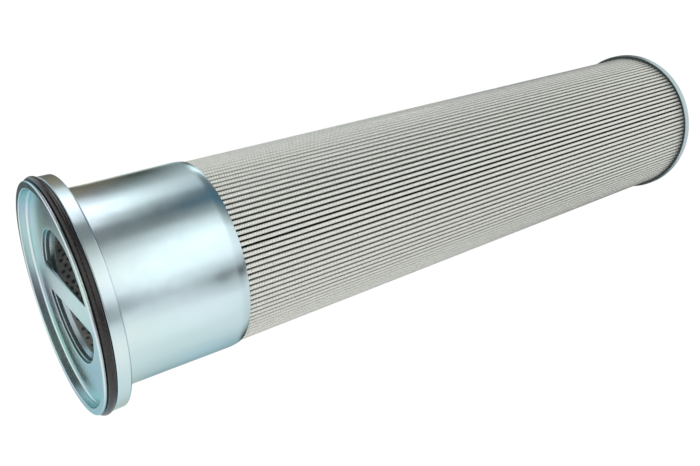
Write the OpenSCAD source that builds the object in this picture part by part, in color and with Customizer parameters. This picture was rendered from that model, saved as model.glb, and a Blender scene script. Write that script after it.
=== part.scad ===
// Hydraulic return-line filter element: a pleated pack on a perforated centre tube,
// potted into a pan at its lower end and into a flanged sleeve with a pull bar at its upper end.
// It stands upright on the lower end cap, with the flange at the top. Millimetres.

/* [Whole element] */
// Length from the foot of the lower end cap to the top of the cover lip
overall_length = 575; // [300:1:800]

/* [Flange and sleeve] */
// Outside diameter of the flange ring
flange_d = 150; // [148:0.5:170]
// Height of the flange ring, front face to rear face
flange_height = 8.7; // [6:0.1:14]
// Thickness of the drawn sheet of flange and sleeve
sleeve_sheet = 0.8; // [0.6:0.1:1.2]
// Length of the sleeve below the flange
sleeve_length = 81.8; // [50:0.1:140]
// How much wider the sleeve is at its open end than under the flange, on the diameter
sleeve_draft = 1.6; // [0.4:0.1:2.4]
// Axial length of the rounding at the open end of the sleeve
sleeve_curl = 7; // [4:0.5:12]
// Radius of the bend at the rear outer edge of the flange
flange_bend = 2.2; // [1.4:0.1:3]

/* [Top cover] */
// Thickness of the cover plate
cover_sheet = 1.5; // [1:0.1:2]
// Thickness of the hemmed lip
lip_thickness = 2.2; // [1.4:0.1:2.4]
// How far the lip stays inside the flange diameter, on the radius
lip_setback = 0.6; // [0.2:0.1:1.5]
// Diameter over the round ends of the two openings
opening_d = 86.4; // [70:0.2:90]
// Width of the pull bar left between the openings
bar_width = 17; // [12:0.5:26]
// Radius of the corners of the openings
opening_corner_r = 3; // [1.5:0.5:5]

/* [Flange seal] */
// Cord diameter of the ring seal
seal_cord = 5.1; // [4:0.1:6]
// How far the seal stands out beyond the flange, on the radius
seal_proud = 1.2; // [0.6:0.1:1.6]
// Side play of the seal in its groove
seal_play = 0.2; // [0.1:0.05:0.4]

/* [Pleated pack] */
// Diameter over the pleat crests
pack_d = 126.6; // [124:0.1:127]
// Number of pleats
pleats = 110; // [80:1:114]
// Thickness of each wire mesh
mesh_sheet = 0.25; // [0.15:0.05:0.3]
// Thickness of each protective fleece
fleece_sheet = 0.1; // [0.06:0.01:0.12]
// Thickness of the glass fibre layer
fibre_sheet = 0.25; // [0.2:0.05:0.3]
// Share of the pleat pitch that a crest fills
crest_share = 0.72; // [0.66:0.01:0.8]
// Depth that the pack is set into the potting
pack_in_potting = 4; // [2:0.2:4.6]
// Half of the gap left between neighbouring folds at the tube
fold_gap = 0.05; // [0.03:0.01:0.1]
// Play between the folds and the centre tube, on the radius
tube_play = 0.3; // [0.25:0.05:0.4]

/* [Centre tube] */
// Outside diameter of the perforated tube
tube_d = 82; // [76:0.5:84]
// Thickness of the tube sheet
tube_sheet = 1; // [0.8:0.1:1.5]
// Diameter of the perforations
hole_d = 4.4; // [3:0.1:5]
// Number of columns of perforations round the tube, which is rolled in as many flat strips
hole_columns = 28; // [20:2:30]
// Distance between neighbouring perforations of one column
hole_pitch = 9; // [7:0.5:14]
// Plain border left at each end of the tube
tube_border = 3; // [2:0.5:10]

/* [Upper end cap] */
// Thickness of the end cap sheets
cap_sheet = 0.8; // [0.6:0.1:1.2]
// Depth of the cap plate below the rear face of the flange
cap_inset = 3.8; // [3:0.2:10]
// Depth of the end of the centre tube below the cover plate, seen inside the openings
tube_drop = 5.5; // [5:0.5:8]
// Inner radius of the rolled bead at the mouth of the neck
neck_bead_r = 1; // [0.6:0.1:1.2]
// Height of the upturned rim of the cap plate
cap_rim_height = 3; // [2.5:0.5:4]

/* [Lower end cap] */
// Outside diameter of the pan
pan_d = 132.8; // [131:0.2:140]
// Height of the rim of the pan
pan_height = 7.5; // [7:0.5:12]
// Radius of the bend at the foot of the pan
pan_bend = 2; // [1.2:0.1:3]
// Depth of the adhesive in the pan and under the upper cap plate
potting_depth = 5.2; // [4.8:0.1:6]

/* [Fits] */
// Clearance between neighbouring round pieces, on the radius
fit_gap = 0.1; // [0.05:0.05:0.2]

/* [Hidden] */
$fn = 128;
cut = 1;
arc_steps = 8;

// Heights above the foot of the pan
top_z = overall_length;
flange_front_z = top_z - lip_thickness - seal_cord - seal_play;
plate_top_z = flange_front_z + cover_sheet;
flange_rear_z = flange_front_z - flange_height;
sleeve_end_z = flange_rear_z - sleeve_length;
cap_plate_z = flange_rear_z - cap_inset;
tube_top_z = flange_front_z - tube_drop;
pack_top_z = cap_plate_z - potting_depth + pack_in_potting;
pack_foot_z = cap_sheet + potting_depth - pack_in_potting;

// Radii
flange_r = flange_d / 2;
lip_r = flange_r - lip_setback;
tube_r = tube_d / 2;
pack_r = pack_d / 2;
sleeve_r = pack_r + fit_gap + sleeve_sheet;
sleeve_mouth_r = sleeve_r + sleeve_draft / 2;
groove_floor_r = flange_r + seal_proud - seal_cord;
recess_r = groove_floor_r - cover_sheet;
neck_r = tube_r + fit_gap;
pan_r = pan_d / 2;

// Layers of the pack from the outside in, as depths below its outer surface
fleece_depth = mesh_sheet;
fibre_depth = fleece_depth + fleece_sheet;
inner_fleece_depth = fibre_depth + fibre_sheet;
inner_mesh_depth = inner_fleece_depth + fleece_sheet;
pack_sheet = inner_mesh_depth + mesh_sheet;
pleat_step = 360 / pleats;
valley_r = tube_r + tube_play;
crest_shoulder = 0.7;
shoulder_share = 0.4;
crest_half = crest_share * tan(pleat_step / 2) * (pack_r - crest_shoulder);
shoulder_side = shoulder_share * crest_half;
shoulder_slant = norm([crest_shoulder, shoulder_side]);
valley_half = tan(pleat_step / 2) * valley_r - fold_gap;

// A quarter of a bent sheet: centre, inner radius, sheet, and the quadrant it fills
module bend(x, z, inner_r, sheet, quadrant) {
    translate([x, z]) rotate(90 * quadrant) intersection() {
        difference() {
            circle(r = inner_r + sheet);
            circle(r = inner_r);
        }
        square(inner_r + sheet);
    }
}

// A straight run of sheet between two corners
module run(x0, z0, x1, z1) {
    translate([x0, z0]) square([x1 - x0, z1 - z0]);
}

// One opening: a circle cut off by the bar, with its two sharp corners rounded
module opening_outline() {
    half_bar = bar_width / 2;
    r = opening_d / 2;
    c = opening_corner_r;
    corner_y = half_bar + c;
    corner_x = sqrt(pow(r - c, 2) - pow(corner_y, 2));
    reach = (r + c) / (r - c);
    difference() {
        intersection() {
            circle(r = r);
            translate([-r, half_bar]) square([2 * r, r]);
        }
        for (side = [-1, 1]) polygon([
            [side * corner_x, corner_y], [side * corner_x, half_bar - cut],
            [side * (r + c), half_bar - cut], [side * corner_x * reach, corner_y * reach]
        ]);
    }
    for (side = [-1, 1]) translate([side * corner_x, corner_y]) circle(r = c);
}

// Pressed tray with a hemmed lip, two openings and the pull bar between them
module top_cover() {
    lip_end = lip_thickness / 2;
    foot_bend = 1.5;
    brow = 1;
    color([0.62, 0.72, 0.74]) difference() {
        rotate_extrude() {
            run(0, flange_front_z, recess_r - foot_bend, plate_top_z);
            bend(recess_r - foot_bend, plate_top_z + foot_bend, foot_bend, cover_sheet, 3);
            run(recess_r, plate_top_z + foot_bend, groove_floor_r, top_z - lip_thickness);
            difference() {
                run(recess_r, top_z - lip_thickness, lip_r - lip_end, top_z);
                translate([recess_r - cut, top_z - brow]) square([brow + cut, brow + cut]);
            }
            intersection() {
                translate([recess_r + brow, top_z - brow]) circle(r = brow);
                run(recess_r, top_z - brow, recess_r + brow, top_z);
            }
            translate([lip_r - lip_end, top_z - lip_end]) circle(r = lip_end);
        }
        for (turn = [0, 180]) rotate(turn)
            translate([0, 0, flange_front_z - cut])
                linear_extrude(cover_sheet + 2 * cut) opening_outline();
    }
}

// Rubber ring lying in the groove between the lip and the flange
module flange_seal() {
    color([0.12, 0.11, 0.1])
        translate([0, 0, flange_front_z + seal_cord / 2])
            rotate_extrude() translate([groove_floor_r + seal_cord / 2, 0]) circle(d = seal_cord);
}

// Points on an arc from one angle to another
function arc(x, z, r, from, to) = [for (k = [0:arc_steps])
    let (a = from + (to - from) * k / arc_steps) [x + r * cos(a), z + r * sin(a)]];

// Deep-drawn shell: hollow flange ring, tapered sleeve and a mouth that closes on the pack
module flange_sleeve() {
    front_bend = 0.6;
    throat_bend = 1;
    seat_width = 5;
    curl_end = 60;
    ring_x = flange_r - sleeve_sheet;
    front_z = flange_front_z - sleeve_sheet;
    rear_z = flange_rear_z + sleeve_sheet;
    curl_z = sleeve_end_z + sleeve_curl;
    squeeze = sleeve_mouth_r - sleeve_sheet - pack_r - fit_gap;
    function curl(r) = [for (k = [0:arc_steps]) let (a = curl_end * k / arc_steps)
        [r - squeeze * (1 - cos(a)) / (1 - cos(curl_end)), curl_z - sleeve_curl * sin(a) / sin(curl_end)]];
    // One skin of the sheet, at a depth below its outer side
    function skin(depth) = concat(
        [[groove_floor_r - seat_width, flange_front_z - depth]],
        arc(ring_x - front_bend, front_z - front_bend, front_bend + sleeve_sheet - depth, 90, 0),
        arc(ring_x - flange_bend, rear_z + flange_bend, flange_bend + sleeve_sheet - depth, 0, -90),
        arc(sleeve_r + throat_bend, flange_rear_z - throat_bend, throat_bend + depth, 90, 180),
        curl(sleeve_mouth_r - depth)
    );
    inside = skin(sleeve_sheet);
    color([0.8, 0.86, 0.88]) rotate_extrude()
        polygon(concat(skin(0), [for (k = [len(inside) - 1:-1:0]) inside[k]]));
}

// Annular plate with a neck that guides the centre tube and ends in a rolled bead
module upper_end_cap() {
    neck_bend = 1;
    rim_bend = 0.8;
    plate_z = cap_plate_z + cap_sheet;
    throat_r = neck_r + cap_sheet;
    bead_z = flange_front_z - neck_bead_r - cap_sheet;
    rim_x = pack_r - cap_sheet;
    color([0.72, 0.78, 0.8]) rotate_extrude() {
        for (quadrant = [0, 1])
            bend(throat_r + neck_bead_r, bead_z, neck_bead_r, cap_sheet, quadrant);
        run(neck_r, plate_z + neck_bend, throat_r, bead_z);
        bend(throat_r + neck_bend, plate_z + neck_bend, neck_bend, cap_sheet, 2);
        run(throat_r + neck_bend, cap_plate_z, rim_x - rim_bend, plate_z);
        bend(rim_x - rim_bend, plate_z + rim_bend, rim_bend, cap_sheet, 3);
        run(rim_x, plate_z + rim_bend, pack_r, cap_plate_z + cap_rim_height);
    }
}

// A point of pleat number k: distance out from the axis and offset to the side, turned into place
function pleat_point(k, out, side) = let (a = k * pleat_step)
    [out * cos(a) - side * sin(a), out * sin(a) + side * cos(a)];

// How far the bevel of a crest has moved at a depth, down the flank and across the top
function bevel_drop(depth) = crest_shoulder
    + depth * (shoulder_slant - crest_shoulder) / shoulder_side;
function bevel_top(depth) = crest_half - shoulder_side
    - depth * (shoulder_slant - shoulder_side) / crest_shoulder;

// Closed zigzag at a depth below the outer surface; the outer contours have bevelled crests
function zigzag(depth, bevelled) = [for (k = [0:pleats - 1], p = let (
        half = crest_half - depth, crest = pack_r - depth,
        shoulder = pack_r - bevel_drop(depth), top = bevel_top(depth),
        valley = valley_r + pack_sheet - depth, slot = valley_half - pack_sheet + depth
    ) concat(
        bevelled
            ? [[0, shoulder, -half], [0, crest, -top], [0, crest, top], [0, shoulder, half]]
            : [[0, crest, -half], [0, crest, half]],
        [[0.5, valley, -slot], [0.5, valley, slot]]
    )) pleat_point(k + p[0], p[1], p[2])];

// One layer of the pack between two depths
module pleated_layer(outer_depth, inner_depth, outer_bevel, inner_bevel, shade) {
    color(shade) translate([0, 0, pack_foot_z]) linear_extrude(pack_top_z - pack_foot_z)
        difference() {
            polygon(zigzag(outer_depth, outer_bevel));
            polygon(zigzag(inner_depth, inner_bevel));
        }
}

// Woven wire mesh that supports the folds from the outside
module outer_wire_mesh() {
    pleated_layer(0, fleece_depth, true, true, [0.8, 0.8, 0.77]);
}

// Thin fleece between the outer mesh and the fibre layer
module outer_fleece() {
    pleated_layer(fleece_depth, fibre_depth, true, true, [0.93, 0.93, 0.9]);
}

// Glass fibre layer that does the filtering
module glass_fibre_layer() {
    pleated_layer(fibre_depth, inner_fleece_depth, true, false, [0.96, 0.96, 0.95]);
}

// Thin fleece between the fibre layer and the inner mesh
module inner_fleece() {
    pleated_layer(inner_fleece_depth, inner_mesh_depth, false, false, [0.93, 0.93, 0.9]);
}

// Woven wire mesh that holds the folds open against the tube
module inner_wire_mesh() {
    pleated_layer(inner_mesh_depth, pack_sheet, false, false, [0.75, 0.75, 0.73]);
}

// Rolled tube of perforated sheet, its holes staggered from column to column
module centre_tube() {
    foot_z = cap_sheet;
    strip = 360 / hole_columns;
    strip_x = tube_r * cos(strip / 2);
    holes = floor((tube_top_z - foot_z - 2 * tube_border - hole_d) / hole_pitch - 0.5);
    color([0.45, 0.46, 0.46]) difference() {
        translate([0, 0, foot_z]) linear_extrude(tube_top_z - foot_z) difference() {
            polygon([for (k = [0:hole_columns - 1]) let (a = (k + 0.5) * strip) tube_r * [cos(a), sin(a)]]);
            polygon([for (k = [0:hole_columns - 1]) let (a = (k + 0.5) * strip)
                (tube_r - tube_sheet) * [cos(a), sin(a)]]);
        }
        for (k = [0:hole_columns - 1], n = [0:holes]) rotate(k * strip)
            translate([strip_x - tube_sheet - cut, 0,
                       tube_top_z - tube_border - hole_d / 2 - (n + (k % 2) / 2) * hole_pitch])
                rotate([0, 90, 0]) cylinder(d = hole_d, h = tube_sheet + 2 * cut);
    }
}

// Space that the folded pack takes up inside the adhesive
module pack_space(foot_z, height) {
    translate([0, 0, foot_z]) linear_extrude(height) difference() {
        polygon(zigzag(0, true));
        polygon(zigzag(pack_sheet, false));
    }
}

// Ring of adhesive under the upper cap plate, level with the bevels of the crests, folds set into it
module upper_potting() {
    foot_z = cap_plate_z - potting_depth;
    color([0.2, 0.2, 0.19]) difference() {
        rotate_extrude() run(neck_r, foot_z, pack_r - crest_shoulder / 2, cap_plate_z);
        pack_space(foot_z - cut, pack_in_potting + cut);
    }
}

// Ring of adhesive in the pan, its foot rounded like the pan, folds set into it
module lower_potting() {
    outer_r = pan_r - cap_sheet - fit_gap;
    rim_z = cap_sheet + potting_depth;
    color([0.2, 0.2, 0.19]) difference() {
        rotate_extrude() {
            run(neck_r, cap_sheet, outer_r - pan_bend, rim_z);
            run(neck_r, cap_sheet + pan_bend, outer_r, rim_z);
            translate([outer_r - pan_bend, cap_sheet + pan_bend]) circle(r = pan_bend);
        }
        pack_space(pack_foot_z, pack_in_potting + cut);
    }
}

// Closed pan that carries the foot of the pack and of the tube
module lower_end_cap() {
    wall_x = pan_r - cap_sheet;
    color([0.75, 0.82, 0.85]) rotate_extrude() {
        run(0, 0, wall_x - pan_bend, cap_sheet);
        bend(wall_x - pan_bend, cap_sheet + pan_bend, pan_bend, cap_sheet, 3);
        run(wall_x, cap_sheet + pan_bend, pan_r, pan_height);
    }
}

top_cover();
flange_seal();
flange_sleeve();
upper_end_cap();
upper_potting();
outer_wire_mesh();
outer_fleece();
glass_fibre_layer();
inner_fleece();
inner_wire_mesh();
centre_tube();
lower_potting();
lower_end_cap();
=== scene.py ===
import math

import bmesh
import bpy
import numpy as np
from mathutils import Matrix


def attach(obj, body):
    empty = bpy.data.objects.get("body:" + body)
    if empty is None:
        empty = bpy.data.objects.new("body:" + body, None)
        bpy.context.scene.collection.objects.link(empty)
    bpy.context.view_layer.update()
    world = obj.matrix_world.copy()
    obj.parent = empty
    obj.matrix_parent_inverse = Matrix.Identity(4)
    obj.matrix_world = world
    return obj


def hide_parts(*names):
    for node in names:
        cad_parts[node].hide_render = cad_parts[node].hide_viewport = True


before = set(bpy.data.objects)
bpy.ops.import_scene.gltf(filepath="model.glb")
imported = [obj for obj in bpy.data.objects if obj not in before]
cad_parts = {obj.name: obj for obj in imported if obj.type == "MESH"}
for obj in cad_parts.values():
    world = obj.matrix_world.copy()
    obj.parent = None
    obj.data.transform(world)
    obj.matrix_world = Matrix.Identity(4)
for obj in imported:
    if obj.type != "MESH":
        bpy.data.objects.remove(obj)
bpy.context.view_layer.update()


# Lower end cap: a closed pan, deep-drawn from thin zinc-plated sheet.
# It carries the foot of the pleated pack and of the centre tube, which are cast into it.

MM = 0.001
steel_sheet = 0.8


def bent_line(corners, steps=7, guard=0.25):
    """Line through corners (radius, height, bend). A corner with a bend becomes an arc that touches both
    neighbouring runs: its centre lies bend / sin(half the corner's angle) along the bisector. A point at
    the distance guard beside each arc keeps the shading of the straight run flat."""
    corners = np.array(corners, float)
    spots, bends = corners[:, :2], corners[:, 2]
    line = [spots[:1]]
    for k in range(1, len(corners) - 1):
        if bends[k] == 0:
            line.append(spots[k:k + 1])
            continue
        back, ahead = spots[k - 1] - spots[k], spots[k + 1] - spots[k]
        back, ahead = back / np.hypot(*back), ahead / np.hypot(*ahead)
        half = math.acos(np.clip(back @ ahead, -1, 1)) / 2
        touch = bends[k] / math.tan(half)
        middle = (back + ahead) / np.hypot(*(back + ahead))
        centre = spots[k] + middle * bends[k] / math.sin(half)
        first, last = spots[k] + back * touch - centre, spots[k] + ahead * touch - centre
        start = math.atan2(first[1], first[0])
        sweep = (math.atan2(last[1], last[0]) - start + math.pi) % (2 * math.pi) - math.pi
        turn = start + sweep * np.linspace(0, 1, steps)
        arc = centre + bends[k] * np.stack([np.cos(turn), np.sin(turn)], 1)
        line += [arc[:1] + back * guard, arc, arc[-1:] + ahead * guard]
    line.append(spots[-1:])
    return np.concatenate(line)


def whirl(line, angles):
    """Surface of revolution: each point (radius, height) of the line goes to
    (radius cos angle, radius sin angle, height) for each of the angles."""
    radius, height = line[:, 0, None], line[:, 1, None]
    ones = np.ones_like(angles)
    return np.stack([radius * np.cos(angles), radius * np.sin(angles), height * ones], 2)


def skin(name, grids, material, uvs=None):
    """Mesh over grids of points in millimetres: neighbouring rows and columns are joined by four-sided
    faces. Edges and poles that lie on each other are merged and the faces are turned outwards."""
    hair_width, sharp_angle = 1e-6, math.radians(48)
    points, faces, marks, base = [], [], [], 0
    for n, grid in enumerate(grids):
        rows, columns = grid.shape[:2]
        index = base + np.arange(rows * columns).reshape(rows, columns)
        quads = np.stack([index[:-1, :-1], index[:-1, 1:], index[1:, 1:], index[1:, :-1]], 2).reshape(-1, 4)
        points.append(grid.reshape(-1, 3))
        faces.append(quads)
        if uvs is not None:
            marks.append(uvs[n].reshape(-1, 2))
        base += rows * columns
    points, faces = np.concatenate(points) * MM, np.concatenate(faces)
    mesh = bpy.data.meshes.new(name)
    mesh.vertices.add(len(points))
    mesh.vertices.foreach_set("co", points.ravel())
    mesh.loops.add(faces.size)
    mesh.loops.foreach_set("vertex_index", faces.ravel())
    mesh.polygons.add(len(faces))
    mesh.polygons.foreach_set("loop_start", np.arange(0, faces.size, 4))
    mesh.update(calc_edges=True)
    if uvs is not None:
        layer = mesh.uv_layers.new(name="sheet")
        layer.data.foreach_set("uv", np.concatenate(marks)[faces.ravel()].ravel())
    work = bmesh.new()
    work.from_mesh(mesh)
    bmesh.ops.remove_doubles(work, verts=work.verts, dist=hair_width)
    bmesh.ops.recalc_face_normals(work, faces=work.faces)
    work.to_mesh(mesh)
    work.free()
    mesh.polygons.foreach_set("use_smooth", np.ones(len(mesh.polygons), bool))
    mesh.set_sharp_from_angle(angle=sharp_angle)
    mesh.materials.append(material)
    piece = bpy.data.objects.new(name, mesh)
    bpy.context.scene.collection.objects.link(piece)
    return piece


def part(tree, kind, inputs=None, **settings):
    """One shader node: its settings, and for each input a number, a colour or another node's output."""
    node = tree.nodes.new(kind)
    for key, value in settings.items():
        setattr(node, key, value)
    for socket, value in (inputs or {}).items():
        if isinstance(value, bpy.types.NodeSocket):
            tree.links.new(value, node.inputs[socket])
        else:
            node.inputs[socket].default_value = value
    return node


def ramp(tree, share, stops):
    """Colours over a share: each stop is a position from 0 to 1 and a colour, with blends between them."""
    node = part(tree, "ShaderNodeValToRGB", {"Fac": share})
    marks = node.color_ramp.elements
    for n, (position, colour) in enumerate(stops):
        mark = marks[0] if n == 0 else marks[-1] if n == len(stops) - 1 else marks.new(position)
        mark.position = position
        mark.color = (*colour, 1)
    return node


def blank_material(name):
    """A new material, its node tree, its shader and the object coordinates that its noise reads."""
    material = bpy.data.materials.new(name)
    material.use_nodes = True
    tree = material.node_tree
    return material, tree, tree.nodes["Principled BSDF"], part(tree, "ShaderNodeTexCoord").outputs["Object"]


def zinc_plate(name, tone, tints, roughness, patch=24.0):
    """Clear passivated zinc on steel: broad patches drift between three tints, as a thin passivation does
    in grazing light, and finer noise in object coordinates makes the gloss and the surface uneven."""
    material, tree, shader, place = blank_material(name)
    shader.inputs["Metallic"].default_value = 1.0
    shader.inputs["Specular Tint"].default_value = (0.7, 0.84, 0.84, 1)
    drift = part(tree, "ShaderNodeTexNoise",
                 {"Vector": place, "Scale": patch, "Detail": 1.5, "Roughness": 0.5})
    spots = (0.34, 0.5, 0.66)
    tint = ramp(tree, drift.outputs["Fac"], list(zip(spots, (np.array(tints) * tone).tolist())))
    fine = part(tree, "ShaderNodeTexNoise", {"Vector": place, "Scale": 1500.0, "Detail": 3.0})
    cloud = part(tree, "ShaderNodeTexNoise", {"Vector": place, "Scale": 130.0, "Detail": 3.0})
    dull = part(tree, "ShaderNodeMath", {0: fine.outputs["Fac"], 1: cloud.outputs["Fac"]}, operation="ADD")
    rough = part(tree, "ShaderNodeMapRange", {"Value": dull.outputs[0], "From Min": 0.7, "From Max": 1.3,
                                             "To Min": roughness - 0.03, "To Max": roughness + 0.04})
    bump = part(tree, "ShaderNodeBump",
                {"Height": fine.outputs["Fac"], "Strength": 0.05, "Distance": 0.00003})
    tree.links.new(tint.outputs["Color"], shader.inputs["Base Color"])
    tree.links.new(rough.outputs["Result"], shader.inputs["Roughness"])
    tree.links.new(bump.outputs["Normal"], shader.inputs["Normal"])
    return material


full_turn = np.linspace(0, 2 * math.pi, 241)
cap_zinc = zinc_plate("cap_zinc", (0.56, 0.66, 0.68),
                      ((0.92, 1.0, 0.98), (1.0, 1.0, 1.0), (1.0, 0.96, 1.0)), 0.28)
pan_radius = 66.4
pan_inside = pan_radius - steel_sheet
pan_rim = 7.5
pan_line = bent_line([(0, 0, 0), (pan_radius, 0, 2.8), (pan_radius, pan_rim, 0.3), (pan_inside, pan_rim, 0.3),
                      (pan_inside, steel_sheet, 2), (0, steel_sheet, 0)])
pan = skin("pan", [whirl(pan_line, full_turn)], cap_zinc)
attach(pan, "root")
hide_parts("lower_end_cap")


# Adhesive in the pan and under the upper cap plate: two-part resin, cast round the ends of the folds.
# It cures dark and dull, with a faintly uneven surface where it crept up the folds.

def resin(name):
    """Dark cured resin: noise in object coordinates varies the tone, the gloss and the skin."""
    material, tree, shader, place = blank_material(name)
    creep = part(tree, "ShaderNodeTexNoise", {"Vector": place, "Scale": 260.0, "Detail": 4.0})
    tone = ramp(tree, creep.outputs["Fac"], [(0.0, (0.02, 0.03, 0.03)), (1.0, (0.06, 0.08, 0.08))])
    tree.links.new(tone.outputs["Color"], shader.inputs["Base Color"])
    rough = part(tree, "ShaderNodeMapRange", {"Value": creep.outputs["Fac"], "To Min": 0.15, "To Max": 0.4})
    tree.links.new(rough.outputs["Result"], shader.inputs["Roughness"])
    bump = part(tree, "ShaderNodeBump", {"Height": creep.outputs["Fac"], "Strength": 0.4, "Distance": 0.0003})
    tree.links.new(bump.outputs["Normal"], shader.inputs["Normal"])
    return material


def dress(node_name, material):
    """The solid of the frame keeps its shape and gets this material in all its slots."""
    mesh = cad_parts[node_name].data
    mesh.materials.clear()
    mesh.materials.append(material)


adhesive = resin("adhesive")
dress("lower_potting", adhesive)
dress("upper_potting", adhesive)


# Centre tube: thin sheet, punched with staggered round holes and rolled into a tube.
# It keeps the folds from collapsing inwards and shows its holes through the two openings.

def tube_steel_sheet(name):
    """Dull grey rolled steel: noise in object coordinates gives darker oily patches and rough gloss."""
    material, tree, shader, place = blank_material(name)
    shader.inputs["Metallic"].default_value = 0.4
    oil = part(tree, "ShaderNodeTexNoise", {"Vector": place, "Scale": 90.0, "Detail": 5.0})
    tone = ramp(tree, oil.outputs["Fac"], [(0.3, (0.13, 0.14, 0.13)), (0.7, (0.24, 0.25, 0.24))])
    tree.links.new(tone.outputs["Color"], shader.inputs["Base Color"])
    rough = part(tree, "ShaderNodeMapRange", {"Value": oil.outputs["Fac"], "To Min": 0.32, "To Max": 0.55})
    tree.links.new(rough.outputs["Result"], shader.inputs["Roughness"])
    return material


def punched_tube(outer, inner, foot, top, hole, columns, rows, border):
    """Grids of a punched tube. The sheet is tiled with six-cornered cells, one round each hole, every
    second column half a pitch lower, and a point at a distance across the sheet goes to the angle
    distance / outer radius. A cell has three rings of faces between its outline and the hole: outside,
    through the sheet, and inside. Strips join the zigzag of the cells to both ends."""
    pitch = (top - foot - 2 * border) / (rows + 0.5)
    wide = 2 * math.pi * outer / columns
    outline = np.array([(2, 0), (1, 1), (-1, 1), (-2, 0), (-1, -1), (1, -1), (2, 0)]) * (wide / 3, pitch / 2)
    spin = np.arange(7) * math.pi / 3
    edge = hole / 2 * np.stack([np.cos(spin), np.sin(spin)], 1)
    number = np.arange(columns)
    first = top - border - pitch / 2
    across = np.repeat(number * wide, rows)
    up = (first - np.arange(rows)[None, :] * pitch - (number[:, None] % 2) * pitch / 2).ravel()

    def rolled(flat, radius):
        """Points of the flat sheet at a radius of the tube."""
        angle = flat[..., 0] / outer
        return np.stack([radius * np.cos(angle), radius * np.sin(angle), flat[..., 1]], -1)

    centre = np.stack([across, up], 1)[:, None, :]
    cells = np.stack([rolled(centre + outline, outer), rolled(centre + edge, outer),
                      rolled(centre + edge, inner), rolled(centre + outline, inner)], 1)
    zigzag = np.array([(-1, 0), (1, 0), (2, -1), (4, -1)]) * (wide / 3, pitch / 2)
    zigzag = np.concatenate([zigzag + (2 * wide * k, 0) for k in range(columns // 2)])
    zigzag = np.concatenate([zigzag, zigzag[:1] + (2 * math.pi * outer, 0)])
    collars = []
    for end, level in ((top, top - border), (foot, foot + border + pitch / 2)):
        cut = zigzag + (0, level)
        rim = np.stack([zigzag[:, 0], np.full(len(zigzag), end)], 1)
        collars.append(np.stack([rolled(cut, outer), rolled(rim, outer),
                                 rolled(rim, inner), rolled(cut, inner)]))
    return list(cells) + collars


tube_steel = tube_steel_sheet("tube_steel")
tube_radius = 41.0
tube_sheet = 1.0
tube_middle = 281.4
tube_top = 562.0
tube_lengths = (("perforated_tube_lower", steel_sheet, tube_middle),
                ("perforated_tube_upper", tube_middle, tube_top))
for length_name, foot, top in tube_lengths:
    sheet_grids = punched_tube(tube_radius, tube_radius - tube_sheet, foot, top,
                               hole=3.1, columns=60, rows=57, border=0.5)
    tube = skin(length_name, sheet_grids, tube_steel)
    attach(tube, "root")
    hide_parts("centre_tube")


# A thin dark film in the narrow gap between the tube and the neck, in the potting's material.
# It lies behind the tube's upper holes and keeps them dark.

film_inner, film_outer = tube_radius + 0.02, tube_radius + 0.08
film_foot, film_top = 555.5, 561.9
film_line = np.array([(film_inner, film_foot), (film_outer, film_foot), (film_outer, film_top),
                      (film_inner, film_top), (film_inner, film_foot)])
dark_film = skin("neck_dark_film", [whirl(film_line, full_turn)], adhesive)
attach(dark_film, "root")


# Inner layers of the pack: mesh, fleece, glass fibre and fleece, folded together with the outer mesh.
# They only show as thin lines at the ends of the folds and through the holes of the tube.

def felt(name, pale, dark, scale):
    """Matted fibres: twisted noise in object coordinates for the tone, the same noise as bump."""
    material, tree, shader, place = blank_material(name)
    shader.inputs["Roughness"].default_value = 0.9
    fibre = part(tree, "ShaderNodeTexNoise",
                 {"Vector": place, "Scale": scale, "Detail": 6.0, "Distortion": 1.5})
    tone = ramp(tree, fibre.outputs["Fac"], [(0.25, dark), (0.75, pale)])
    tree.links.new(tone.outputs["Color"], shader.inputs["Base Color"])
    bump = part(tree, "ShaderNodeBump", {"Height": fibre.outputs["Fac"], "Strength": 0.5, "Distance": 0.0001})
    tree.links.new(bump.outputs["Normal"], shader.inputs["Normal"])
    return material


fleece = felt("fleece", (0.86, 0.86, 0.82), (0.7, 0.7, 0.66), 1600.0)
glass_fibre = felt("glass_fibre", (0.92, 0.92, 0.9), (0.8, 0.8, 0.78), 2400.0)
# The inner mesh is nearly black: painted shade for the deep inside of the pack, seen through the tube's holes.
support_mesh_in_painted_shade = felt("inner_mesh_painted_shade", (0.14, 0.14, 0.13), (0.05, 0.05, 0.05), 1500.0)
dress("outer_fleece", fleece)
dress("inner_fleece", fleece)
dress("glass_fibre_layer", glass_fibre)
dress("inner_wire_mesh", support_mesh_in_painted_shade)


# Outer wire mesh: fine woven steel wire, folded with the layers under it into 110 pleats.
# The crests are round and stand a little unevenly, as folds do that are only cast in at their ends.

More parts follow.
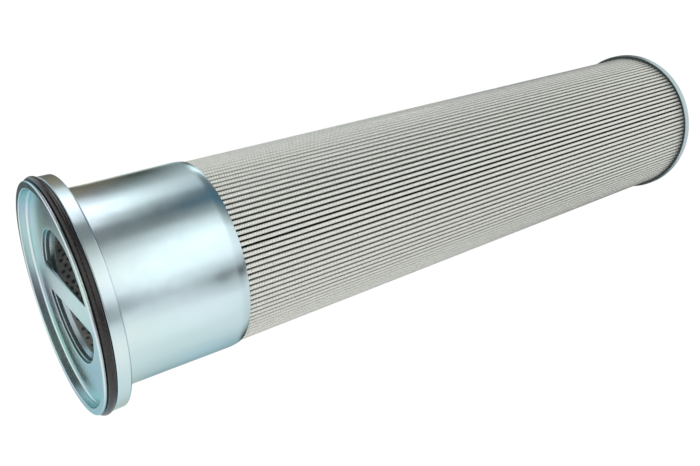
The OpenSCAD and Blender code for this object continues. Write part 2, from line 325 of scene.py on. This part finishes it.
def woven_wire(name, pitch, crest, pale_depth, dark_depth):
    """Twill weave on the sheet's own coordinates: sin(2 pi (v + u / 2) / pitch) draws the lines of
    crossings over the crests, and noise changes the tone. The folds get painted shade: down to the pale
    depth under the crest the tone is full, and from there it falls in a straight line to almost black at
    the dark depth, in place of the shade deep between the folds."""
    material, tree, shader, place = blank_material(name)
    shader.inputs["Metallic"].default_value = 0.68
    shader.inputs["Roughness"].default_value = 0.36
    shader.inputs["Specular Tint"].default_value = (0.15, 0.15, 0.18, 1)
    sheet = part(tree, "ShaderNodeUVMap", uv_map="sheet").outputs["UV"]
    turns = 2 * math.pi / (pitch * MM)
    phase = part(tree, "ShaderNodeVectorMath", {0: sheet, 1: (turns / 2, turns, 0)}, operation="DOT_PRODUCT")
    weave = part(tree, "ShaderNodeMath", {0: phase.outputs["Value"]}, operation="SINE").outputs[0]
    drift = part(tree, "ShaderNodeTexNoise",
                 {"Vector": place, "Scale": 900.0, "Detail": 3.0, "Roughness": 0.7})
    mixed = part(tree, "ShaderNodeMath", {0: drift.outputs["Fac"], 1: 0.8, 2: -0.4}, operation="MULTIPLY_ADD")
    level = part(tree, "ShaderNodeMath", {0: weave, 1: 0.34, 2: 0.55}, operation="MULTIPLY_ADD")
    total = part(tree, "ShaderNodeMath", {0: level.outputs[0], 1: mixed.outputs[0]}, operation="ADD")
    tone = ramp(tree, total.outputs[0], [(0.05, (0.4, 0.41, 0.37)), (0.8, (0.98, 1.0, 0.94))])
    # Painted shade: the colour is scaled down with the depth under the crest, standing in for the shade
    # between the folds.
    flat = part(tree, "ShaderNodeVectorMath", {0: place, 1: (1, 1, 0)}, operation="MULTIPLY")
    radius = part(tree, "ShaderNodeVectorMath", {0: flat.outputs["Vector"]}, operation="LENGTH")
    painted_fold_shade = part(tree, "ShaderNodeMapRange", {"Value": radius.outputs["Value"], "To Min": 0.06, "To Max": 1.0,
                                              "From Min": (crest - dark_depth) * MM,
                                              "From Max": (crest - pale_depth) * MM})
    tone_in_painted_shade = part(tree, "ShaderNodeVectorMath", {0: tone.outputs["Color"], "Scale": painted_fold_shade.outputs["Result"]},
                  operation="SCALE")
    tree.links.new(tone_in_painted_shade.outputs["Vector"], shader.inputs["Base Color"])
    bump = part(tree, "ShaderNodeBump", {"Height": weave, "Strength": 0.4, "Distance": 0.0001})
    tree.links.new(bump.outputs["Normal"], shader.inputs["Normal"])
    return material


fold_count = 110
crest_radius = 63.3
floor_radius = 42.25
mesh_sheet = 0.25


def folded_sheet(depth, levels, shift):
    """One side of the folded mesh at a depth below its outside. Seen along the axis, each fold is a round
    crest, out = crest - bow (1 - cos t) and side = half sin t, two straight flanks and a narrow floor, all
    turned to the fold's place. Towards the crest the fold leans sideways by shift(fold, height). A layer
    further in has a narrower crest and a wider slot at its floor. The sheet's own coordinates are the way
    along the fold, with a short stretch for the floor, and the height."""
    crest, floor = crest_radius - depth, floor_radius - depth
    bow, shoulder = 1.0, 0.6
    half, slot = 1.21 - 0.52 * depth, 0.18 + depth
    floor_way = 0.3
    step = 2 * math.pi / fold_count
    bulge = np.linspace(-math.pi / 2, math.pi / 2, 7)
    foot_out = floor * math.cos(step / 2) + slot * math.sin(step / 2)
    foot_side = floor * math.sin(step / 2) - slot * math.cos(step / 2)
    flank_out = crest - bow - shoulder
    lean_in = (crest - bow - flank_out) / (crest - bow - foot_out) * (half - foot_side)
    out = np.concatenate([[foot_out, flank_out], crest - bow + bow * np.cos(bulge), [flank_out, foot_out]])
    side = np.concatenate([[-foot_side, lean_in - half], half * np.sin(bulge), [half - lean_in, foot_side]])
    along = np.concatenate([[0], np.cumsum(np.hypot(np.diff(out), np.diff(side)))])
    lean = (out - foot_out) / (crest - foot_out)
    turn = np.arange(fold_count) * step
    sideways = side[None, None, :] + shift[:, :, None] * lean
    x = out * np.cos(turn)[None, :, None] - sideways * np.sin(turn)[None, :, None]
    y = out * np.sin(turn)[None, :, None] + sideways * np.cos(turn)[None, :, None]
    z = np.broadcast_to(levels[:, None, None], x.shape)
    grid = np.stack([x, y, z], 3).reshape(len(levels), -1, 3)
    across = (np.arange(fold_count)[:, None] * (along[-1] + floor_way) + along[None, :]).ravel()
    uv = np.stack(np.broadcast_arrays(across[None, :], levels[:, None]), 2) * MM
    grid = np.concatenate([grid, grid[:, :1]], 1)
    uv = np.concatenate([uv, uv[:, -1:] + (floor_way * MM, 0)], 1)
    return grid, uv


fold_foot, fold_top = 2.0, 553.8
most_lean, slow_bend, quick_bend = 0.08, 0.05, 0.02
levels = np.linspace(fold_foot, fold_top, 33)
seeded = np.random.default_rng(7)
fold_lean = seeded.uniform(-most_lean, most_lean, fold_count)
fold_wave = seeded.uniform(0, 2 * math.pi, (2, fold_count))
waves = 2 * math.pi * levels[:, None] / (fold_top - fold_foot)
shift = (fold_lean + slow_bend * np.sin(1.3 * waves + fold_wave[0])
         + quick_bend * np.sin(3.1 * waves + fold_wave[1]))
outside, outside_uv = folded_sheet(0.0, levels, shift)
inside, inside_uv = folded_sheet(mesh_sheet, levels, shift)
ends = [np.stack([outside[row], inside[row]]) for row in (0, -1)]
ends_uv = [np.stack([outside_uv[row], inside_uv[row]]) for row in (0, -1)]
wire_mesh = woven_wire("wire_mesh", pitch=1.15, crest=crest_radius, pale_depth=1.7, dark_depth=4.5)
pleats = skin("pleats", [outside, inside] + ends, wire_mesh, [outside_uv, inside_uv] + ends_uv)
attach(pleats, "root")
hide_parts("outer_wire_mesh")


# Upper end cap: a drawn ring plate with a neck that guides the centre tube. Above the tube the neck
# widens in a short cone, and its mouth is rolled outwards into a bead that shows in the openings.

ring_rim, ring_foot, ring_edge = 63.3, 555.0, 558.0
neck, neck_mouth = 41.1, 42.3
cone_foot, cone_top, cone_drop = 562.1, 564.7, 0.2
bead_rim, bead_foot, bead_top = 44.4, 565.8, 567.4
neck_line = bent_line([
    (ring_rim, ring_foot + 1.8, 0), (ring_rim, ring_foot, 1.6), (neck, ring_foot, 1.8), (neck, cone_foot, 0.4),
    (neck_mouth, cone_top, 0.4), (neck_mouth, bead_top, 0.5), (bead_rim, bead_top, 1.1),
    (bead_rim, bead_foot, 0.2), (bead_rim - steel_sheet, bead_foot, 0.2),
    (bead_rim - steel_sheet, bead_top - steel_sheet, 0.3),
    (neck_mouth + steel_sheet, bead_top - steel_sheet, 0.3),
    (neck_mouth + steel_sheet, cone_top - cone_drop, 0.4), (neck + steel_sheet, cone_foot - cone_drop, 0.4),
    (neck + steel_sheet, ring_foot + steel_sheet, 1),
    (ring_rim - steel_sheet, ring_foot + steel_sheet, 0.8), (ring_rim - steel_sheet, ring_edge, 0.25),
    (ring_rim, ring_edge, 0.25), (ring_rim, ring_foot + 1.8, 0)], guard=0.1)
upper_cap = skin("upper_cap", [whirl(neck_line, full_turn)], cap_zinc)
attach(upper_cap, "root")
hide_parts("upper_end_cap")


# Flange and sleeve: one deep-drawn shell, zinc-plated. The flange is a hollow ring folded at the
# front, and the mouth of the sleeve is rolled in over the pleats to hold them.

sleeve_zinc = zinc_plate("sleeve_zinc", (0.72, 0.89, 0.94),
                         ((0.96, 1.0, 0.97), (1.0, 1.0, 1.0), (1.02, 0.96, 1.0)), 0.19, patch=14.0)


flange_radius, flange_top, flange_foot = 75.0, 567.5, 558.8
flange_tuck = 66.1
shoulder_radius = 64.2
mouth_radius, mouth_level = 65.0, 484.0
curl_in, curl_height = 0.8, 7.0


def mouth_curl(radius):
    """Rolled-in mouth: the wall follows a sixty-degree arc, flattened to the curl's width and height."""
    turn = np.radians(np.linspace(0, 60, 12))
    inwards = curl_in * (1 - np.cos(turn)) / (1 - math.cos(turn[-1]))
    return np.stack([radius - inwards, mouth_level - curl_height * np.sin(turn) / math.sin(turn[-1])], 1)


def with_wall(line, curl):
    """The long wall gets rows between its last bend and the mouth, so that it can be dented: the points
    at even shares of the way from the one to the other."""
    share = np.linspace(0, 1, 24)[1:-1, None]
    return np.concatenate([line[:-1], line[-2] + (line[-1] - line[-2]) * share, curl])


shell_outer = bent_line([
    (flange_tuck, flange_top, 0), (flange_radius, flange_top, 0.8), (flange_radius, flange_foot, 1),
    (shoulder_radius, flange_foot, 1), (mouth_radius, mouth_level, 0)], guard=0.15)
shell_inner = bent_line([
    (flange_tuck, flange_top - steel_sheet, 0), (flange_radius - steel_sheet, flange_top - steel_sheet, 0.3),
    (flange_radius - steel_sheet, flange_foot + steel_sheet, 0.4),
    (shoulder_radius - steel_sheet, flange_foot + steel_sheet, 1.8),
    (mouth_radius - steel_sheet, mouth_level, 0)])
shell_line = np.concatenate([
    with_wall(shell_outer, mouth_curl(mouth_radius)),
    with_wall(shell_inner, mouth_curl(mouth_radius - steel_sheet))[::-1], shell_outer[:1]])

# The drawn wall isn't quite round: it has two faint waves and one shallow dent beside the mouth. All of
# it stands back a little, and fades out towards the flange and the mouth's own edge.
angle = full_turn[None, :]
level = shell_line[:, 1, None]
fade_top, fade_foot = 558.0, 478.0
on_sleeve = np.clip((fade_top - level) / 20.0, 0, 1) * np.clip((level - fade_foot) / 6.0, 0, 1)
wide_wave = 0.05 * np.sin(3 * angle + 0.6) * np.sin((level - 480.0) / 24.0)
close_wave = 0.03 * np.sin(7 * angle + level / 31.0)
dent_level, dent_angle, dent_depth = 489.0, math.radians(7.0), 0.1
dent = dent_depth * np.exp(-((level - dent_level) / 6.0) ** 2) * np.exp(-((angle - dent_angle) / 0.1) ** 2)
wall_back = 0.08
scale = 1 + on_sleeve * (wide_wave + close_wave - wall_back - dent) / shell_line[:, 0, None]
shell = whirl(shell_line, full_turn)
shell[..., 0] *= scale
shell[..., 1] *= scale
sleeve = skin("sleeve", [shell], sleeve_zinc)
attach(sleeve, "root")
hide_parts("flange_sleeve")


# Flange seal: a moulded ring of black rubber with a round section. It is stretched into the groove
# between the cover's hemmed lip and the flange, and nothing else holds it.

def rubber(name):
    """Black rubber with a brown cast: fine noise in object coordinates for tone, gloss and dust."""
    material, tree, shader, place = blank_material(name)
    dust = part(tree, "ShaderNodeTexNoise", {"Vector": place, "Scale": 700.0, "Detail": 5.0})
    tone = ramp(tree, dust.outputs["Fac"], [(0.35, (0.006, 0.005, 0.005)), (0.8, (0.022, 0.02, 0.018))])
    tree.links.new(tone.outputs["Color"], shader.inputs["Base Color"])
    rough = part(tree, "ShaderNodeMapRange", {"Value": dust.outputs["Fac"], "To Min": 0.14, "To Max": 0.26})
    tree.links.new(rough.outputs["Result"], shader.inputs["Roughness"])
    return material


cord_radius, cord_level, cord_half = 73.65, 570.05, 2.55
section = np.linspace(0, 2 * math.pi, 33)
cord_line = np.stack([cord_radius + cord_half * np.cos(section), cord_level + cord_half * np.sin(section)], 1)
seal = skin("ring_seal", [whirl(cord_line, full_turn)], rubber("seal_rubber"))
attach(seal, "root")
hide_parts("flange_seal")


# Top cover: a pressed tray, zinc-plated, with a hemmed lip, a flat bottom and two D-shaped openings
# punched beside the pull bar. It is spot-welded to the front of the flange.

plate_top, plate_foot = 569.0, 567.5
flat_radius = 50.0


def punched_half(bar, reach, corner, edge_round):
    """Half of the flat bottom round one opening. The opening's outline is a chord, an arc and two round
    corners. Spokes from a point inside it meet the half disc's own outline, so rows of points run from
    that outline over the top, round the punched edge, and back underneath."""
    centre_x = math.sqrt((reach - corner) ** 2 - (bar + corner) ** 2)
    lean = math.atan2(bar + corner, centre_x)
    straight = np.stack([np.linspace(-centre_x, centre_x, 400), np.full(400, bar)], 1)
    right = np.linspace(-math.pi / 2, lean, 200)
    arc = np.linspace(lean, math.pi - lean, 900)
    left = np.linspace(math.pi - lean, 3 * math.pi / 2, 200)
    outline = np.concatenate([
        straight, np.stack([centre_x + corner * np.cos(right), bar + corner + corner * np.sin(right)], 1)[1:],
        np.stack([reach * np.cos(arc), reach * np.sin(arc)], 1)[1:],
        np.stack([-centre_x + corner * np.cos(left), bar + corner + corner * np.sin(left)], 1)[1:-1]])
    hub = np.array([0.0, 24.0])
    turn = np.unwrap(np.arctan2(*(outline - hub).T[::-1]))
    ends = np.unwrap([turn[0], math.atan2(-hub[1], flat_radius)])[1]
    other = math.atan2(-hub[1], -flat_radius)
    picks = np.concatenate([turn[::9], [(a - turn[0]) % (2 * math.pi) + turn[0] for a in (ends, other)]])
    picks = np.append(np.sort(picks), turn[0] + 2 * math.pi)
    x = np.interp(picks, np.append(turn, turn[0] + 2 * math.pi), np.append(outline[:, 0], outline[0, 0]))
    y = np.interp(picks, np.append(turn, turn[0] + 2 * math.pi), np.append(outline[:, 1], outline[0, 1]))
    hole = np.stack([x, y], 1)
    way = np.stack([np.cos(picks), np.sin(picks)], 1)
    hair, far = 1e-9, 1e9
    to_line = np.where(way[:, 1] < -hair, -hub[1] / np.minimum(way[:, 1], -hair), far)
    along = way @ hub
    to_arc = -along + np.sqrt(along ** 2 + flat_radius ** 2 - hub @ hub)
    rim = hub + way * np.minimum(to_line, to_arc)[:, None]
    tangent = np.roll(hole[:-1], -1, 0) - np.roll(hole[:-1], 1, 0)
    tangent = np.append(tangent, tangent[:1], 0)
    outwards = np.stack([tangent[:, 1], -tangent[:, 0]], 1) / np.hypot(*tangent.T)[:, None]
    guard = 0.3
    bevel = np.linspace(0, math.pi / 2, 5)
    rows = [(rim, plate_top), ((rim + hole) / 2, plate_top),
            (hole + outwards * (edge_round + guard), plate_top)]
    rows += [(hole + outwards * edge_round * (1 - math.sin(a)), plate_top - edge_round * (1 - math.cos(a)))
             for a in bevel[1:]]
    rows += [(hole + outwards * edge_round * (1 - math.cos(a)), plate_foot + edge_round * (1 - math.sin(a)))
             for a in bevel]
    rows += [((rim + hole) / 2, plate_foot), (rim, plate_foot)]
    grid = np.stack([np.column_stack([flat, np.full(len(flat), z)]) for flat, z in rows])
    on_arc = to_arc <= to_line + hair
    spread = np.sort(np.arctan2(rim[on_arc, 1], rim[on_arc, 0]))
    return grid, spread


half_plate, spread = punched_half(bar=8.5, reach=43.2, corner=3.0, edge_round=0.15)
other_half = half_plate * (-1, -1, 1)
round_spread = np.unique(np.round(np.concatenate([spread, spread + math.pi]) % (2 * math.pi), 9))
round_spread = np.append(round_spread, round_spread[0] + 2 * math.pi)
recess_wall, tray_wall = 69.6, 71.1
lip_radius, lip_top, hem_foot = 74.4, 575.0, 572.8
tray_line = bent_line([
    (flat_radius, plate_top, 0), (recess_wall, plate_top, 1.7), (recess_wall, lip_top, 0.6),
    (lip_radius, lip_top, 1.1), (lip_radius, hem_foot, 1.1), (tray_wall, hem_foot, 0.15),
    (tray_wall, plate_foot, 3.2), (flat_radius, plate_foot, 0)])
cover_zinc = zinc_plate("cover_zinc", (0.77, 0.86, 0.87),
                        ((0.94, 1.02, 0.96), (0.97, 1.0, 1.0), (1.04, 0.96, 1.02)), 0.2, patch=26.0)
cover = skin("cover", [half_plate, other_half, whirl(tray_line, round_spread)], cover_zinc)
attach(cover, "root")
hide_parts("top_cover")


# Floor: smooth paint that the camera sees as white. In the object's reflections it carries the cards of
# a photographer's table: rings of pale and dark cards, each ring further from the object than the last.

# Directions are degrees of the compass, counted from this side of the object.
VIEW_SIDE = math.radians(24.23)

# Each ring has the distance where it starts, in metres, and its cards: a direction, a brightness and a
# step from cool, below 0, to warm.
TABLE_CARDS = [
    (0.0, [(-180, 0.1, 0), (-95, 0.1, 0), (-76, 0.1, 0), (-62, 0.5, 0), (-46, 0.85, 0), (0, 0.9, 0),
           (46, 0.85, 0), (64, 0.35, 0), (80, 0.12, 0), (180, 0.1, 0)]),
    (0.3, [(-180, 0.05, 0), (-140, 0.05, 0), (-100, 0.7, 0), (-56, 0.8, 0), (-44, 0.6, 0), (-30, 0.05, 0),
           (-19, 0.6, 0), (-4, 0.95, 0), (20, 0.9, 0), (32, 0.5, 0), (44, 0.25, -1), (60, 0.14, -5),
           (76, 0.14, -3), (92, 0.2, 0), (104, 0.35, 0), (116, 1.4, 0), (128, 1.0, 0), (138, 0.15, 0),
           (150, 0.04, 0), (180, 0.05, 0)]),
    (1.1, [(-180, 0.3, 0), (-150, 0.5, -1), (-90, 0.8, 0), (-56, 0.9, 0), (-44, 0.62, 0), (-30, 0.0, 0),
           (-19, 0.55, 0), (-8, 1.1, 0), (24, 1.4, 0), (34, 1.05, 0), (47, 0.42, 0), (60, 0.16, -5),
           (73, 0.08, -6), (84, 0.48, -1), (98, 0.64, 0), (112, 0.52, 0), (124, 0.42, 0), (138, 0.36, 0),
           (150, 0.4, 0), (160, 1.1, 0), (172, 1.7, 0), (180, 0.6, 0)]),
    (1.42, [(-180, 0.2, 0), (-155, 0.5, -1), (-130, 0.68, -1), (-92, 0.8, 0), (-68, 0.95, 0), (-54, 0.95, 0),
            (-42, 0.8, 0), (-30, 0.76, 0), (-18, 0.95, 0), (-4, 1.2, 0), (20, 1.3, 0), (35, 0.92, 0),
            (49, 0.2, 0), (62, 0.07, -1), (74, 0.28, 0), (86, 0.8, 0), (98, 0.72, 0), (111, 0.36, 0),
            (124, 0.2, 0), (136, 0.1, 1), (147, 0.06, 1), (157, 0.72, 1), (168, 1.4, 1), (180, 0.6, 1)]),
    (1.8, [(-180, 0.2, 0), (-155, 0.5, -1), (-130, 0.66, 0), (-92, 0.8, 0), (-68, 0.95, 0), (-54, 0.95, 0),
           (-43, 0.78, 0), (-30, 0.95, 0), (-17, 1.2, 0), (-4, 1.4, 0), (9, 1.4, 0), (22, 1.15, 0),
           (34, 0.62, 0), (47, 0.22, 0), (58, 0.2, 0), (70, 0.42, 0), (80, 1.4, 0), (92, 1.4, 0),
           (101, 0.8, 0), (111, 0.3, 0), (123, 0.18, 1), (136, 0.18, 3), (149, 0.15, 3), (158, 0.75, 2),
           (168, 1.4, 1), (180, 0.6, 0)]),
    (2.27, [(-180, 0.3, 0), (-166, 0.75, 1), (-150, 0.66, 1), (-103, 0.82, 0), (-55, 0.93, 1), (-40, 0.85, 0),
            (-31, 0.12, -1), (-22, 0.12, -1), (-12, 0.8, 0), (4, 0.95, 1), (18, 0.72, 1), (30, 0.48, 1),
            (44, 0.22, 0), (58, 0.27, 0), (68, 1.3, 0), (90, 1.6, 0), (106, 0.95, 0), (117, 0.32, 2),
            (130, 0.24, 4), (152, 0.17, 3), (165, 0.42, 1), (180, 0.4, 0)])]


def card_ring(tree, direction, cards):
    """Light of the cards by compass angle: the arctangent of y over x, counted from the view's side and
    divided by a full turn, is looked up in a ramp. A warmer card gains red and loses blue."""
    turned = part(tree, "ShaderNodeVectorRotate", {"Vector": direction, "Angle": -VIEW_SIDE},
                  rotation_type="Z_AXIS")
    axes = part(tree, "ShaderNodeSeparateXYZ", {"Vector": turned.outputs["Vector"]})
    compass = part(tree, "ShaderNodeMath", {0: axes.outputs["Y"], 1: axes.outputs["X"]}, operation="ARCTAN2")
    share = part(tree, "ShaderNodeMath", {0: compass.outputs[0], 1: 0.5 / math.pi, 2: 0.5},
                 operation="MULTIPLY_ADD")
    lights = ramp(tree, share.outputs[0], [
        (degrees / 360 + 0.5, (bright * (1 + 0.1 * warm), bright, bright * (1 - 0.08 * warm)))
        for degrees, bright, warm in cards])
    lights.color_ramp.interpolation = "EASE"
    return lights.outputs["Color"]


def graded(tree, share, first, second):
    """First colour where the share is 0, second where it is 1."""
    mix = part(tree, "ShaderNodeMix", {"Factor": share}, data_type="RGBA")
    tree.links.new(first, mix.inputs[6])
    tree.links.new(second, mix.inputs[7])
    return mix.outputs[2]


def straight_view(tree, paths):
    """1 for what the camera sees straight or through something clear, and 0 for all other light."""
    rays = {0: paths.outputs["Is Camera Ray"], 1: paths.outputs["Is Transmission Ray"]}
    return part(tree, "ShaderNodeMath", rays, operation="MAXIMUM").outputs[0]


floor_material, tree, paint, place = blank_material("floor_paint")
paint.inputs["Base Color"].default_value = (0.5, 0.5, 0.5, 1)
paint.inputs["Roughness"].default_value = 0.9
paths = part(tree, "ShaderNodeLightPath")
white = part(tree, "ShaderNodeEmission", {"Color": (1, 1, 1, 1), "Strength": 1.04})
distance = part(tree, "ShaderNodeVectorMath", {0: place}, operation="LENGTH").outputs["Value"]
ring_blend = 0.08
table_cards = card_ring(tree, place, TABLE_CARDS[0][1])
for away, ring in TABLE_CARDS[1:]:
    outwards = part(tree, "ShaderNodeMapRange", {"Value": distance, "From Min": away - ring_blend,
                                                 "From Max": away + ring_blend})
    table_cards = graded(tree, outwards.outputs["Result"], table_cards, card_ring(tree, place, ring))
cards = part(tree, "ShaderNodeEmission", {"Color": table_cards, "Strength": 1.0})
seen = part(tree, "ShaderNodeMath", {0: straight_view(tree, paths), 1: 0.97}, operation="MULTIPLY")
pale = part(tree, "ShaderNodeMixShader", {0: seen.outputs[0], 1: paint.outputs[0], 2: white.outputs[0]})
shown = part(tree, "ShaderNodeMixShader",
             {0: paths.outputs["Is Glossy Ray"], 1: pale.outputs[0], 2: cards.outputs[0]})
tree.links.new(shown.outputs[0], tree.nodes["Material Output"].inputs["Surface"])
floor_half, floor_level = 40.0, -0.0002
floor_corners = [(x * floor_half, y * floor_half, floor_level)
                 for x, y in ((-1, -1), (1, -1), (1, 1), (-1, 1))]
floor_mesh = bpy.data.meshes.new("floor")
floor_mesh.from_pydata(floor_corners, [], [(0, 1, 2, 3)])
floor_mesh.materials.append(floor_material)
floor = bpy.data.objects.new("floor", floor_mesh)
bpy.context.scene.collection.objects.link(floor)


# Sky of the studio: white to the camera. Dull surfaces get a soft light that is weak from both sides. In
# reflections it is a wall of cards and one wide pale cloth overhead, which draws the thin bright lines
# along the bent edges.

SOFT_SKY = [(-180, 0.6, 0), (-130, 0.3, 0), (-92, 0.04, 0), (-60, 0.8, 0), (0, 0.82, 0), (60, 0.95, 0),
            (92, 0.04, 0), (130, 0.3, 0), (180, 0.6, 0)]
WALL_CARDS = [(-180, 0.95, 0), (-174, 0.62, -2), (-150, 0.7, -2), (-90, 0.95, 0), (-50, 0.85, 0),
              (-28, 0.3, 0), (-14, 0.06, 0), (12, 0.02, 0), (40, 0.02, 0), (76, 0.02, 0), (100, 0.05, 0),
              (116, 0.5, -1), (134, 0.8, -2), (152, 0.8, -2), (164, 0.15, -1), (173, 0.1, -1),
              (177, 0.5, 0), (180, 0.95, 0)]
world = bpy.data.worlds.new("studio")
bpy.context.scene.world = world
world.use_nodes = True
tree = world.node_tree
tree.nodes.clear()
paths = part(tree, "ShaderNodeLightPath")
direction = part(tree, "ShaderNodeTexCoord").outputs["Generated"]
soft = part(tree, "ShaderNodeBackground", {"Color": card_ring(tree, direction, SOFT_SKY), "Strength": 1.0})
height = part(tree, "ShaderNodeSeparateXYZ", {"Vector": direction}).outputs["Z"]
overhead = part(tree, "ShaderNodeMapRange", {"Value": height, "From Min": 0.42, "From Max": 0.56})
cloth = part(tree, "ShaderNodeRGB")
cloth.outputs[0].default_value = (0.9, 0.92, 0.94, 1)
sky_cards = graded(tree, overhead.outputs["Result"], card_ring(tree, direction, WALL_CARDS), cloth.outputs[0])
cards = part(tree, "ShaderNodeBackground", {"Color": sky_cards, "Strength": 1.0})
white = part(tree, "ShaderNodeBackground", {"Color": (1, 1, 1, 1), "Strength": 1.0})
mirrored = part(tree, "ShaderNodeMixShader",
                {0: paths.outputs["Is Glossy Ray"], 1: soft.outputs[0], 2: cards.outputs[0]})
sky = part(tree, "ShaderNodeMixShader",
           {0: straight_view(tree, paths), 1: mirrored.outputs[0], 2: white.outputs[0]})
tree.links.new(sky.outputs[0], part(tree, "ShaderNodeOutputWorld").inputs["Surface"])


# Lamps: one large soft box high to one side of the camera, and a weaker and lower one to its other
# side. Both give gentle shape and show neither to the camera nor in the gloss.

def soft_box(name, at, aim, size, watts):
    """Square area lamp at a point, turned to face another point: its back is the direction from the aim
    to the lamp, and its side is square to that and to the upright."""
    lamp = bpy.data.lights.new(name, "AREA")
    lamp.size = size
    lamp.energy = watts
    holder = bpy.data.objects.new(name, lamp)
    away = np.array(at, float) - np.array(aim, float)
    away /= np.linalg.norm(away)
    across = np.cross((0.0, 0.0, 1.0), away)
    across /= np.linalg.norm(across)
    turn = np.eye(4)
    turn[:3, 0], turn[:3, 1], turn[:3, 2], turn[:3, 3] = across, np.cross(away, across), away, at
    holder.matrix_world = Matrix(turn.tolist())
    holder.visible_camera = False
    holder.visible_glossy = False
    bpy.context.scene.collection.objects.link(holder)


element_middle = (0, 0, 0.25)
box_size = 1.6
soft_box("key", (1.1, 2.1, 1.5), element_middle, box_size, 58.0)
soft_box("fill", (1.8, -1.3, 0.9), element_middle, box_size, 26.0)


# Camera: close to the flange and a little above it, rolled so that the upright element lies across
# the picture. Its place, lens and roll come from the outlines of the photograph.

lens = bpy.data.cameras.new("camera")
lens.sensor_width = 36.0
lens.lens = 38.314
lens.clip_start = 0.01
lens.clip_end = 200.0
camera = bpy.data.objects.new("camera", lens)
camera_place = (0.43908534, 0.19764524, 0.66121155)
forward = np.array((-0.75939371, -0.37661117, -0.53055182))
upward = np.array((-0.27030071, 0.92435635, -0.26926355))
stand = np.eye(4)
stand[:3, 0], stand[:3, 1], stand[:3, 2] = np.cross(forward, upward), upward, -forward
stand[:3, 3] = camera_place
camera.matrix_world = Matrix(stand.tolist())
bpy.context.scene.collection.objects.link(camera)
bpy.context.scene.camera = camera

bpy.context.scene.view_settings.view_transform = "Standard"
